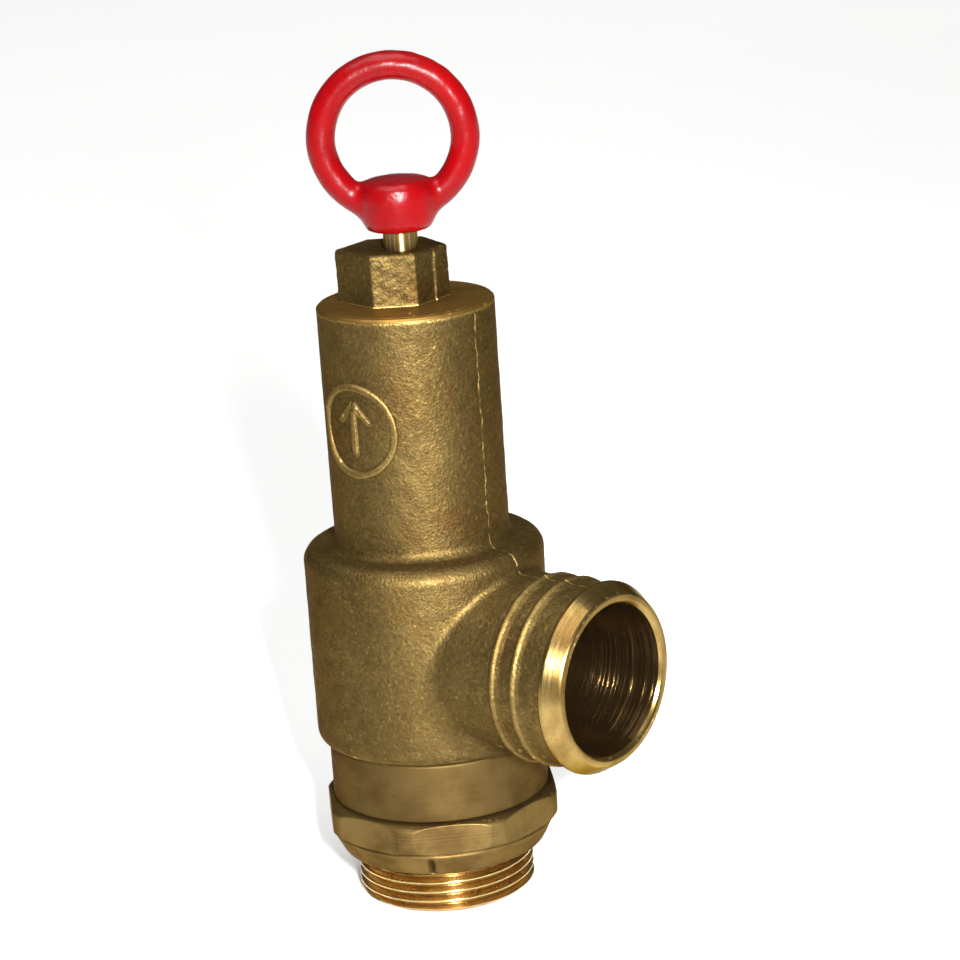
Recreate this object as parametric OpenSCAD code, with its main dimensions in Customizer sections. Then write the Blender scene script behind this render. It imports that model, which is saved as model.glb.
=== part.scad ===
// Pressure relief valve with a pull ring, screwed inlet and side hose tail.
// Z runs up the valve axis from the inlet thread's end face, X along the hose tail.

/* [Inlet nipple] */

// Outside diameter of the inlet thread, G 1 1/4
thread_d = 41.91; // [41.8:0.01:42.0]
// Pitch of the inlet thread
thread_pitch = 2.309; // [2.2:0.001:2.4]
// Length of the inlet thread
thread_len = 11.4; // [10:0.1:12]
// Diameter of the collar where it meets the thread
collar_d = 48.8; // [48:0.1:50]
// Width across the flats of the octagon
octagon_af = 53.6; // [53:0.1:54.2]
// Height of the octagon's lower edge
octagon_z0 = 17.5; // [17:0.1:18]
// Height of the octagon's upper face
octagon_z1 = 24.8; // [24:0.1:25]
// Turn of the octagon about the valve axis
octagon_turn = -45; // [-60:0.5:-30]
// Diameter of the flow bore and the seat
inlet_bore_d = 33; // [31:0.5:34]
// Height of the seat
seat_z = 40; // [39.5:0.1:40.5]

/* [Body casting] */

// Diameter of the turned neck
neck_d = 51.3; // [51:0.1:52]
// Height of the neck's upper end
neck_z1 = 39.2; // [38.5:0.1:40]
// Diameter of the chamber
body_d = 56.4; // [55.5:0.1:57]
// Height where the chamber's shoulder starts to round over
shoulder_z0 = 83.2; // [82.5:0.1:84]
// Radius of the shoulder's rounded edge
shoulder_r = 3.5; // [3:0.1:4]
// Diameter of the bonnet
bonnet_d = 41.1; // [40.5:0.1:41.5]
// Height of the bonnet's top face
bonnet_z1 = 143.8; // [143:0.1:145]
// Width of the raised parting line
seam_w = 0.7; // [0.5:0.1:1]
// Height of the raised parting line
seam_h = 0.35; // [0.2:0.05:0.5]

/* [Hose tail] */

// Height of the hose tail's axis
tail_z = 60.5; // [60:0.1:61]
// Reach of the hose tail's rim from the valve axis
tail_x = 54.8; // [54:0.1:56]
// Diameter of the plain tail
tail_d = 42.6; // [42:0.1:43]
// Diameter over the two barbs
barb_d = 44.2; // [43.6:0.1:44.6]
// Diameter of the turned end collar
rim_d = 44.6; // [44:0.1:45]
// Bore of the hose tail
outlet_bore_d = 35.2; // [34:0.1:36]

/* [Adjusting screw] */

// Height of the hexagon
hexagon_h = 11.9; // [11:0.1:13]
// Diameter of the screw's thread, M14 x 1.5
screw_d = 14; // [14:1:16]

/* [Spindle and ring] */

// Diameter of the spindle
spindle_d = 7.9; // [7.8:0.05:8]
// Height of the ring's centre
ring_z = 181.4; // [181:0.1:182]
// Outside diameter of the ring
ring_d = 39.3; // [39:0.1:40]
// Thickness of the ring's bar
ring_bar = 6.6; // [6:0.1:7]
// Turn of the ring about the valve axis
ring_turn = 40.5; // [0:0.5:90]

/* [Spring] */

// Thickness of the spring wire
wire_d = 3.2; // [2.8:0.1:3.4]
// Outside diameter of the spring
spring_d = 29; // [28:0.5:30]
// Working coils of the spring
coils = 5; // [4:0.5:6]

/* [Hidden] */
$fn = 96;

running = 0.05;
brass = "darkgoldenrod";
bright = "goldenrod";
steel = "silver";
rubber = "dimgray";

// radii shared by several pieces
thread_r = thread_d / 2;
root_r = thread_r - 0.6403 * thread_pitch;
spindle_r = spindle_d / 2;
joint_r = 22.4;
chamber_r = 24.2;
spring_room_r = 16.6;
screw_r = screw_d / 2 + 0.1;
bush_r = 5.2;
mark_h = 0.75;

// heights shared by several pieces
bonnet_root = shoulder_z0 + shoulder_r + 2.6;
roof_z = 78.6;
guide_z0 = 80.7;
guide_z1 = 84;
plate_z0 = 89;
plate_z1 = 92;
spring_z0 = plate_z1;
spring_z1 = 128;
hexagon_z0 = bonnet_z1 + 0.2;
hexagon_z1 = hexagon_z0 + hexagon_h;
shank_z0 = 131;

// corners of the rough cast hexagon, which sits to one side of the valve axis
hexagon_corners = [[-13.5, -8], [-0.5, -10.5], [7.5, -4], [7, 8], [-4, 12.5], [-14.5, 4]];
hexagon_middle = [-3, 0.3];
ridge_y = 2.7;

// ---------- helpers ----------

// ring with a rectangular section
module ring(r0, r1, z0, z1) {
  translate([0, 0, z0])
    difference() {
      cylinder(r = r1, h = z1 - z0);
      translate([0, 0, -1])
        cylinder(r = r0, h = z1 - z0 + 2);
    }
}

// round bar between two heights, also used to cut round holes
module rod(r, z0, z1) {
  translate([0, 0, z0])
    cylinder(r = r, h = z1 - z0);
}

// prism with flats, one flat facing along +X
module flats(sides, af, z0, z1) {
  translate([0, 0, z0])
    rotate([0, 0, 180 / sides])
      cylinder(r = af / 2 / cos(180 / sides), h = z1 - z0, $fn = sides);
}

// arc points about a centre, from angle a0 to a1
function arc(cx, cz, r, a0, a1, n = 6) =
  [for (i = [0:n]) [cx + r * cos(a0 + (a1 - a0) * i / n), cz + r * sin(a0 + (a1 - a0) * i / n)]];

// ---------- body casting ----------

// outer profile of the casting about the valve axis
module body_profile() {
  br = body_d / 2;
  nr = neck_d / 2;
  tr = bonnet_d / 2;
  polygon(concat(
    [[0, 24.9], [nr - 0.4, 24.9], [nr, 25.3], [nr, neck_z1 - 0.5]],
    [[nr + 0.35, neck_z1]],
    arc(br - 2.6, neck_z1 + 2.9, 2.6, -75, 0, 5),
    arc(br - shoulder_r, shoulder_z0, shoulder_r, 0, 86, 8),
    arc(tr + 2.2, bonnet_root, 2.3, 264, 184, 6),
    [[tr, bonnet_z1 - 0.7], [tr - 0.7, bonnet_z1], [0, bonnet_z1]]
  ));
}

// outer profile of the hose tail about its own axis, along +Y of the sketch
module tail_profile() {
  tr = tail_d / 2;
  cr = barb_d / 2;
  er = rim_d / 2;
  polygon([
    [0, 12], [24.6, 12], [24.6, 21], [23.2, 23.4], [22.1, 26.4], [tr, 30.5], [tr, 34.6],
    [tr + 0.35, 35.0], [cr, 36.1], [cr, 36.8], [tr + 0.3, 37.8],
    [tr, 38.3], [tr, 40.2],
    [tr + 0.35, 40.6], [cr, 41.7], [cr, 42.4], [tr + 0.3, 43.4],
    [tr, 43.9], [tr, 49.4],
    [er - 0.4, 49.4], [er, 49.7], [er, 50.7], [20.2, tail_x - 0.5], [19.6, tail_x], [0, tail_x]
  ]);
}

// raised parting line along the bonnet, shoulder, chamber and tail
module seam() {
  for (side = [0, 180])
    rotate([0, 0, side])
      translate([0, seam_w / 2, 0])
        rotate([90, 0, 0])
          linear_extrude(height = seam_w)
            intersection() {
              translate([seam_h, 0.25])
                body_profile();
              translate([15, neck_z1 + 3.5])
                square([20, bonnet_z1 - neck_z1 - 4.5]);
            }
  for (z = [tail_z + tail_d / 2 - 2, tail_z - tail_d / 2 - seam_h])
    translate([26, -seam_w / 2, z])
      cube([22, seam_w, 2 + seam_h]);
}

// plain raised mark: a ring round an arrow that shows the flow
module flow_mark() {
  intersection() {
    translate([0, 0, 100])
      cylinder(r = bonnet_d / 2 + mark_h, h = 40);
    translate([0, 0, 117.5])
      rotate([90, 0, 0])
        linear_extrude(height = 30)
          union() {
            difference() {
              circle(r = 10.6);
              circle(r = 9.3);
            }
            polygon([[-1.5, -6], [1.5, -6], [1.5, 0.6], [5, 0.6], [0, 6.6], [-5, 0.6], [-1.5, 0.6]]);
          }
  }
}

module valve_body() {
  color(brass)
    difference() {
      union() {
        rotate_extrude()
          body_profile();
        translate([0, 0, tail_z])
          rotate([0, 90, 0])
            rotate_extrude()
              tail_profile();
        seam();
        flow_mark();
      }
      rod(joint_r, 20, 42);
      rod(chamber_r, 41, roof_z);
      rod(20, roof_z - 1, guide_z1);
      rod(spring_room_r, guide_z1 - 1, 134);
      rod(screw_r, 130, 150);
      rod(24.8, 20, 26.5);
      ring(19, 20.9, guide_z0 - 1.2, guide_z0);
      translate([20.5, 0, tail_z])
        rotate([0, 90, 0])
          cylinder(r = outlet_bore_d / 2, h = 60);
      translate([tail_x - 0.7, 0, tail_z])
        rotate([0, 90, 0])
          cylinder(r1 = outlet_bore_d / 2, r2 = outlet_bore_d / 2 + 1.5, h = 1.5);
    }
}

// ---------- inlet nipple ----------

// outline of the threaded end with one groove for every pitch
module thread_profile() {
  turns = floor((thread_len - 0.9) / thread_pitch);
  polygon(concat(
    [[0, 0], [root_r - 0.2, 0]],
    [for (i = [0:turns - 1])
      for (p = [[root_r, 0.35], [thread_r, 1.33], [thread_r, 1.68]])
        [p[0], p[1] - 0.35 + 0.15 + i * thread_pitch]],
    [[root_r, 0.15 + turns * thread_pitch], [root_r, thread_len + 0.3], [0, thread_len + 0.3]]
  ));
}

module inlet_nipple() {
  cr = collar_d / 2;
  color(bright)
    difference() {
      union() {
        rotate_extrude()
          thread_profile();
        rotate_extrude()
          polygon([
            [0, thread_len], [cr - 0.5, thread_len], [cr, thread_len + 0.5],
            [26.7, 16.6], [26.6, 17], [26, octagon_z0 + 0.3], [0, octagon_z0 + 0.3]
          ]);
        intersection() {
          rotate([0, 0, octagon_turn])
            flats(8, octagon_af, octagon_z0 - 2, octagon_z1 + 1);
          rotate_extrude()
            polygon([
              [0, octagon_z0], [27.4, octagon_z0], [28.2, octagon_z0 + 0.8], [28.3, octagon_z0 + 3],
              [28.1, octagon_z1 - 1.7], [27.4, octagon_z1 - 0.6], [26.4, octagon_z1], [0, octagon_z1]
            ]);
        }
        rod(joint_r - 0.1, octagon_z1 - 0.5, 37);
        rod(20.6, 36.5, seat_z - 1);
        rod(18.3, seat_z - 2, seat_z);
      }
      rod(inlet_bore_d / 2, -1, seat_z + 1);
      translate([0, 0, -0.01])
        cylinder(r1 = inlet_bore_d / 2 + 1, r2 = inlet_bore_d / 2, h = 1);
    }
}

module nipple_gasket() {
  color("firebrick")
    ring(joint_r + 0.1, 24.7, octagon_z1, 26.4);
}

// ---------- guide above the chamber ----------

module spindle_guide() {
  color(bright)
    difference() {
      union() {
        ring(spindle_r + running, 19.95, guide_z0, guide_z1 - 0.05);
        ring(spindle_r + running, 8, 77, 85.6);
      }
      for (a = [30:60:330])
        rotate([0, 0, a])
          translate([13.4, 0, guide_z0 - 1])
            cylinder(r = 2, h = 8);
    }
}

module guide_circlip() {
  color(steel)
    difference() {
      ring(17.8, 20.7, guide_z0 - 1.1, guide_z0 - 0.1);
      translate([0, -2.5, guide_z0 - 2])
        cube([30, 5, 3]);
    }
}

// ---------- valve disc ----------

module valve_disc() {
  color(bright)
    difference() {
      union() {
        rotate_extrude()
          polygon([
            [0, seat_z + 1.6], [20.6, seat_z + 1.6], [20.6, 47], [19.6, 48], [9.6, 49.6],
            [7.6, 51.4], [7.6, 60], [6.8, 60.8], [0, 60.8]
          ]);
        rod(3, 33.6, seat_z + 2);
      }
      ring(3.2, 19.1, seat_z + 0.5, seat_z + 3.5);
      rod(spindle_r + running, 48, 62);
      ring(3.9, 5.4, 55.9, 57.1);
    }
}

module disc_seal() {
  color(rubber)
    ring(3.25, 19, seat_z + 0.05, seat_z + 3.45);
}

module seal_plate() {
  color(steel)
    rotate_extrude()
      polygon([[3.1, 38.5], [10.4, 38.5], [11, 39.1], [11, seat_z], [3.1, seat_z]]);
}

module lock_washer() {
  color(steel)
    difference() {
      ring(3.1, 5.2, 37.1, 38.45);
      translate([2, -0.6, 36])
        cube([6, 1.2, 4]);
    }
}

module seal_nut() {
  color(steel)
    difference() {
      intersection() {
        flats(6, 10, 34.2, 37.05);
        rotate_extrude()
          polygon([[0, 34.2], [4.9, 34.2], [5.8, 34.8], [5.8, 37.05], [0, 37.05]]);
      }
      rod(3.05, 33, 38);
    }
}

// ---------- spindle ----------

module spindle() {
  color(bright)
    difference() {
      union() {
        rod(spindle_r, 48.4, 169);
        rod(7, 86.3, plate_z0 - 0.02);
      }
      ring(3.3, spindle_r + 1, 55.7, 57.3);
      translate([0, 0, 47.9])
        difference() {
          cylinder(r = 6, h = 1.5);
          translate([0, 0, -0.01])
            cylinder(r1 = spindle_r - 1, r2 = spindle_r + 0.6, h = 1.6);
        }
    }
}

module stem_circlip() {
  color(steel)
    difference() {
      ring(3.4, 5.2, 56, 57);
      translate([0, -1.5, 55])
        cube([8, 3, 3]);
    }
}

// ---------- spring and its plates ----------

module lower_spring_plate() {
  color(steel)
    ring_plate(plate_z0, 1);
}

module upper_spring_plate() {
  color(steel)
    ring_plate(shank_z0 - 0.02, -1);
}

// dished washer with a spigot that centres the spring; dir points to the spring
module ring_plate(z, dir) {
  rotate_extrude()
    polygon([
      [spindle_r + running, z], [15.6, z], [16, z + dir * 0.6], [16, z + dir * 2.4],
      [15.5, z + dir * 2.98], [10.6, z + dir * 2.98], [10.2, z + dir * 6], [9.6, z + dir * 6.6],
      [spindle_r + running, z + dir * 6.6]
    ]);
}

// coil centre line: closed end turns with a steady rise between them
function coil_z(t) =
  let (
    total = coils + 2,
    flat_rise = wire_d + 0.06,
    span = spring_z1 - spring_z0 - wire_d,
    rise = (span - 2 * flat_rise) / coils
  )
  t < 1 ? flat_rise * t :
  t > total - 1 ? span - flat_rise * (total - t) :
  flat_rise + (t - 1) * rise;

module spring() {
  steps = 20;
  total = coils + 2;
  mid_r = (spring_d - wire_d) / 2;
  sides = 10;
  count = steps * total;
  pts = [
    for (i = [0:count])
      for (k = [0:sides - 1])
        let (
          a = 360 * i / steps,
          b = 360 * k / sides,
          z = spring_z0 + wire_d / 2 + coil_z(i / steps)
        )
        [
          (mid_r + wire_d / 2 * cos(b)) * cos(a),
          (mid_r + wire_d / 2 * cos(b)) * sin(a),
          z + wire_d / 2 * sin(b)
        ]
  ];
  faces = concat(
    [[for (k = [0:sides - 1]) k]],
    [[for (k = [sides - 1:-1:0]) count * sides + k]],
    [for (i = [0:count - 1])
      for (k = [0:sides - 1])
        let (n = (k + 1) % sides)
        [i * sides + k, (i + 1) * sides + k, (i + 1) * sides + n, i * sides + n]]
  );
  color(steel)
    polyhedron(points = pts, faces = faces, convexity = 10);
}

// ---------- adjusting screw ----------

module adjusting_screw() {
  color(brass)
    difference() {
      union() {
        intersection() {
          translate([0, 0, hexagon_z0])
            linear_extrude(height = hexagon_h)
              polygon(hexagon_corners);
          translate([hexagon_middle[0], hexagon_middle[1], 0])
            rotate_extrude()
              polygon([
                [0, hexagon_z0 - 1], [13.3, hexagon_z0 - 1], [13.3, hexagon_z1 - 1],
                [12, hexagon_z1], [0, hexagon_z1]
              ]);
        }
        translate([0, ridge_y - seam_w / 2, hexagon_z0])
          cube([7.2 + seam_h, seam_w, hexagon_h - 0.6]);
        rod(screw_r - 0.1, shank_z0, hexagon_z0 + 1);
      }
      rod(bush_r, shank_z0 - 1, 147);
      rod(spindle_r + running, 140, hexagon_z1 + 1);
      ring(3, 5.9, 149, 151.4);
    }
}

module guide_bush() {
  color("peru")
    ring(spindle_r + running, bush_r - 0.02, shank_z0 + 0.1, 146.9);
}

module spindle_seal() {
  color(rubber)
    translate([0, 0, 150.2])
      rotate_extrude()
        translate([spindle_r + running + 0.9, 0])
          circle(r = 0.9);
}

// ---------- pull ring ----------

module eye_ring() {
  mid_r = (ring_d - ring_bar) / 2;
  color("red")
    difference() {
      union() {
        translate([0, 0, ring_z])
          rotate([0, 0, ring_turn])
            rotate([90, 0, 0])
              rotate_extrude()
                translate([mid_r, 0])
                  circle(r = ring_bar / 2);
        rotate_extrude()
          polygon([
            [0, 160], [5.8, 160], [6.6, 160.5], [7, 161.5], [8, 166], [8.1, 169],
            [7.8, 171], [6.6, 171.8], [3, 172.2], [0, 172.3]
          ]);
      }
      rod(spindle_r + 0.02, 159, 169.2);
    }
}

valve_body();
inlet_nipple();
nipple_gasket();
spindle_guide();
guide_circlip();
valve_disc();
disc_seal();
seal_plate();
lock_washer();
seal_nut();
spindle();
stem_circlip();
lower_spring_plate();
spring();
upper_spring_plate();
adjusting_screw();
guide_bush();
spindle_seal();
eye_ring();
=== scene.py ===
"""Pressure relief valve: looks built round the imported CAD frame.

Lengths are in millimetres until a mesh is made.
"""

import math

import bpy
import numpy as np
from mathutils import Matrix, Vector


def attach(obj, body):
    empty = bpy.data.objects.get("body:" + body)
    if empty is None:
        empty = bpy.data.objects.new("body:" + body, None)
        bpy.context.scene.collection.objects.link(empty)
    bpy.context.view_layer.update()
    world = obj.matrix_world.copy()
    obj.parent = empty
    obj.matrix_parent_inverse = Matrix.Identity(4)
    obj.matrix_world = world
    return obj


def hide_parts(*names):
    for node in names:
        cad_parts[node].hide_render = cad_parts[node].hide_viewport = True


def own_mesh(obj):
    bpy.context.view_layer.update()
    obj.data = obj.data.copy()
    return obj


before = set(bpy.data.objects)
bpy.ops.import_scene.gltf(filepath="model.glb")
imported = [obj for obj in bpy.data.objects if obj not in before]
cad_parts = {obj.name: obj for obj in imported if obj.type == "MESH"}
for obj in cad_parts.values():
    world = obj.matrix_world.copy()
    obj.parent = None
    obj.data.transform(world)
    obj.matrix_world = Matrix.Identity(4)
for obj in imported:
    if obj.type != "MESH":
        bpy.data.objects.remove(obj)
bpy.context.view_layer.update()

MM = 0.001
TAU = 2 * math.pi

# ---------- sizes shared with the CAD source ----------

THREAD_R, PITCH, THREAD_LEN = 20.955, 2.309, 11.4
ROOT_R = THREAD_R - 0.6403 * PITCH
NECK_R, NECK_Z0, NECK_Z1 = 25.65, 24.9, 39.2
BODY_R, SHOULDER_Z, SHOULDER_R = 28.2, 83.2, 3.5
BONNET_R, BONNET_Z = 20.55, 143.8
ROOT_Z = SHOULDER_Z + SHOULDER_R + 2.6
TAIL_Z, TAIL_R, TAIL_X = 60.5, 21.3, 54.8
BARB_R, COLLAR_R, OUTLET_R = 22.1, 22.3, 17.6
HEX_Z0, HEX_Z1, SHANK_R = 144.0, 155.9, 7.0
HEX_CORNERS = ((-13.5, -8), (-0.5, -10.5), (7.5, -4), (7, 8), (-4, 12.5), (-14.5, 4))
HEX_MIDDLE = (-3.0, 0.3)
SPINDLE_R = 3.95
BUSH_R, SHANK_Z0, BUSH_Z1 = 5.2, 131, 147
JOINT_R, CHAMBER_R, GUIDE_R, ROOM_R = 22.4, 24.2, 20, 16.6
CHAMBER_Z1, GUIDE_Z1 = 78.6, 84
# the roof stands 0.35 above the CAD's, clear of the raised spring plate
ROOF_Z = 134.35
OCTAGON_Z0, OCTAGON_Z1, OCTAGON_FLAT = 17.5, 24.8, 26.8
OCTAGON_TURN, NICK_TURN, NICK_DEPTH = math.radians(-45), math.radians(-56.5), 1.5
INLET_R, SEAT_Z = 16.5, 40
WIRE_R, COIL_R, COIL_TURNS, SPRING_Z0, SPRING_Z1 = 1.6, 12.9, 7, 92.0, 128.0
RING_Z, RING_R, RING_BAR, RING_TURN = 181.4, 16.35, 3.3, 40.5
MARK_Z, MARK_H = 117.5, 0.75


# ---------- mesh helpers ----------


def arc(cx, cy, r, a0, a1, n=8):
    """Points on an arc, angles in degrees."""
    a = np.radians(np.linspace(a0, a1, n + 1))
    return [(cx + r * math.cos(t), cy + r * math.sin(t)) for t in a]


def soften(points, r, steps=4):
    """Rounds each inner corner of a profile with a short curve reaching r along both sides."""
    pts = [np.array(p, float) for p in points]
    out = [pts[0]]
    for a, b, c in zip(pts, pts[1:], pts[2:]):
        la, lc = np.linalg.norm(a - b), np.linalg.norm(c - b)
        ra, rc = min(r, la * 0.45), min(r, lc * 0.45)
        p, q = b + (a - b) / la * ra, b + (c - b) / lc * rc
        for t in np.linspace(0, 1, steps + 1):
            out.append((1 - t) ** 2 * p + 2 * t * (1 - t) * b + t * t * q)
    out.append(pts[-1])
    return np.array(out)


def dense(points, step):
    """Adds points so that no stretch of a profile is longer than step."""
    pts = np.array(points, float)
    out = [pts[0]]
    for a, b in zip(pts, pts[1:]):
        n = max(1, int(math.ceil(np.linalg.norm(b - a) / step)))
        out += [a + (b - a) * i / n for i in range(1, n + 1)]
    return np.array(out)


def quads_of(nu, nv, closed_u=False, closed_v=False, flip=False):
    """Quads of a grid of nu by nv points."""
    i, j = np.meshgrid(
        np.arange(nu if closed_u else nu - 1),
        np.arange(nv if closed_v else nv - 1),
        indexing="ij",
    )
    i2, j2 = (i + 1) % nu, (j + 1) % nv
    q = np.stack([i * nv + j, i * nv + j2, i2 * nv + j2, i2 * nv + j], -1).reshape(-1, 4)
    return q[:, ::-1] if flip else q


def shell(points, slot=0, closed_u=False, closed_v=False, flip=False):
    """A grid of points as (vertices, quads, material slot)."""
    p = np.asarray(points, float)
    q = quads_of(p.shape[0], p.shape[1], closed_u, closed_v, flip)
    return p.reshape(-1, 3), q, slot


def lathe_z(profile, n, slot):
    """Turns a profile of (r, z) about Z. A profile that runs upward faces outward."""
    pr = np.asarray(profile, float)
    t = np.arange(n) / n * TAU
    r, z = pr[:, 0][:, None], pr[:, 1][:, None]
    p = np.stack([r * np.cos(t), r * np.sin(t), z + 0 * t], -1)
    return shell(p, slot, closed_v=True)


def lathe_x(profile, n, slot, ripple=None):
    """Turns a profile of (x, r) about the tail's axis."""
    pr = np.asarray(profile, float)
    t = np.arange(n) / n * TAU
    x, r = pr[:, 0][:, None] + 0 * t, pr[:, 1][:, None] + 0 * t
    if ripple is not None:
        r = r + ripple(x, t[None, :])
    p = np.stack([x, r * np.cos(t), TAIL_Z + r * np.sin(t)], -1)
    return shell(p, slot, closed_v=True, flip=True)


def make(name, shells, body, mats, stands_for, sharp):
    """Joins shells into one mesh that rides on a CAD body and stands for CAD nodes."""
    verts, quads, slots, base = [], [], [], 0
    for v, q, s in shells:
        verts.append(v)
        quads.append(q + base)
        slots.append(np.full(len(q), s, np.int32))
        base += len(v)
    v, q, s = np.concatenate(verts) * MM, np.concatenate(quads), np.concatenate(slots)
    me = bpy.data.meshes.new(name)
    me.vertices.add(len(v))
    me.vertices.foreach_set("co", v.astype(np.float32).ravel())
    me.loops.add(q.size)
    me.loops.foreach_set("vertex_index", q.astype(np.int32).ravel())
    me.polygons.add(len(q))
    me.polygons.foreach_set("loop_start", np.arange(len(q), dtype=np.int32) * 4)
    me.polygons.foreach_set("material_index", s)
    me.polygons.foreach_set("use_smooth", np.ones(len(q), bool))
    me.update(calc_edges=True)
    me.validate()
    me.set_sharp_from_angle(angle=math.radians(sharp))
    for m in mats:
        me.materials.append(m)
    ob = bpy.data.objects.new(name, me)
    bpy.context.scene.collection.objects.link(ob)
    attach(ob, body)
    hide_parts(*stands_for)
    return ob


# ---------- distance fields ----------


def profile_field(points, lo, hi, step=0.15):
    """Signed distance to a closed outline in a plane, negative inside, as a function that reads a table."""
    pts = np.array(points, float)
    na, nb = int((hi[0] - lo[0]) / step) + 2, int((hi[1] - lo[1]) / step) + 2
    a, b = np.meshgrid(lo[0] + np.arange(na) * step, lo[1] + np.arange(nb) * step, indexing="ij")
    best, inside = np.full(a.shape, 1e9), np.zeros(a.shape, bool)
    for (x0, y0), (x1, y1) in zip(pts, np.roll(pts, -1, 0)):
        dx, dy = x1 - x0, y1 - y0
        t = np.clip(((a - x0) * dx + (b - y0) * dy) / max(dx * dx + dy * dy, 1e-12), 0, 1)
        best = np.minimum(best, (a - x0 - t * dx) ** 2 + (b - y0 - t * dy) ** 2)
        if y0 != y1:
            inside ^= ((y0 > b) != (y1 > b)) & (a < (x1 - x0) * (b - y0) / (y1 - y0) + x0)
    table = (np.where(inside, -1, 1) * np.sqrt(best)).astype(np.float32)

    def read(u, v):
        i = np.clip((u - lo[0]) / step, 0, na - 1.001)
        j = np.clip((v - lo[1]) / step, 0, nb - 1.001)
        i0, j0 = i.astype(np.int32), j.astype(np.int32)
        fi, fj = (i - i0).astype(np.float32), (j - j0).astype(np.float32)
        low = table[i0, j0] * (1 - fi) + table[i0 + 1, j0] * fi
        high = table[i0, j0 + 1] * (1 - fi) + table[i0 + 1, j0 + 1] * fi
        return low * (1 - fj) + high * fj

    return read


def smooth_union(a, b, k):
    h = np.clip(0.5 + 0.5 * (b - a) / k, 0, 1)
    return b * (1 - h) + a * h - k * h * (1 - h)


def nets(field, lo, hi, step):
    """Meshes the zero surface of a distance field, one vertex a cell, each moved onto the surface."""
    axes = [np.arange(lo[i], hi[i] + step, step) for i in range(3)]
    n = [len(a) for a in axes]
    f = np.empty(n, np.float32)
    gy, gz = np.meshgrid(axes[1], axes[2], indexing="ij")
    for i, x in enumerate(axes[0]):
        f[i] = field(np.full(gy.shape, x), gy, gz)
    neg = f < 0
    count = np.zeros([k - 1 for k in n], np.int8)
    corners = [(i, j, k) for i in (0, 1) for j in (0, 1) for k in (0, 1)]
    for i, j, k in corners:
        count += neg[i : n[0] - 1 + i, j : n[1] - 1 + j, k : n[2] - 1 + k]
    cells = np.argwhere((count > 0) & (count < 8))
    index = np.full(count.shape, -1, np.int64)
    index[tuple(cells.T)] = np.arange(len(cells))
    total, hits = np.zeros((len(cells), 3)), np.zeros(len(cells))
    for c in corners:
        for axis in range(3):
            if c[axis]:
                continue
            d = list(c)
            d[axis] = 1
            fa = f[tuple((cells + c).T)].astype(float)
            fb = f[tuple((cells + d).T)].astype(float)
            cross = (fa < 0) != (fb < 0)
            t = np.where(cross, fa / np.where(cross, fa - fb, 1), 0)
            p = np.tile(np.array(c, float), (len(cells), 1))
            p[:, axis] += t
            total += p * cross[:, None]
            hits += cross
    v = (cells + total / hits[:, None]) * step + np.array(lo, float)
    e = 0.08
    for _ in range(3):
        g = np.stack(
            [
                field(*(v + e * u).T) - field(*(v - e * u).T)
                for u in np.eye(3)
            ],
            -1,
        ) / (2 * e)
        g2 = np.maximum((g * g).sum(1), 0.2)
        move = -field(*v.T)[:, None] * g / g2[:, None]
        v += np.clip(move, -0.5 * step, 0.5 * step)
    quads = []
    for axis in range(3):
        b, c = (axis + 1) % 3, (axis + 2) % 3
        sl0, sl1 = [slice(None)] * 3, [slice(None)] * 3
        sl0[axis], sl1[axis] = slice(0, n[axis] - 1), slice(1, n[axis])
        s0, s1 = neg[tuple(sl0)], neg[tuple(sl1)]
        edges = np.argwhere(s0 != s1)
        keep = (edges[:, b] > 0) & (edges[:, c] > 0) & (edges[:, b] < n[b] - 1) & (edges[:, c] < n[c] - 1)
        edges = edges[keep]
        first = s0[tuple(edges.T)]
        ring = []
        for db, dc in ((1, 1), (0, 1), (0, 0), (1, 0)):
            p = edges.copy()
            p[:, b] -= db
            p[:, c] -= dc
            ring.append(index[tuple(p.T)])
        q = np.stack(ring, -1)
        q[~first] = q[~first][:, ::-1]
        quads.append(q)
    return v, np.concatenate(quads)


def uneven(x, y, z, amount):
    """Slow waviness of a cast skin."""
    return amount * (
        np.sin(0.31 * x + 0.9) * np.sin(0.27 * y + 2.1) * np.sin(0.23 * z)
        + 0.6 * np.sin(0.53 * x - 1.1 + 0.2 * z) * np.sin(0.61 * y + 0.41 * z)
        + 0.4 * np.sin(1.13 * z + 0.7 * x) * np.sin(0.97 * y - 0.5 * z + 1.0)
    )


# ---------- materials ----------

EDGE_TINT = (0.42, 0.34, 0.24, 1.0)


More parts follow.
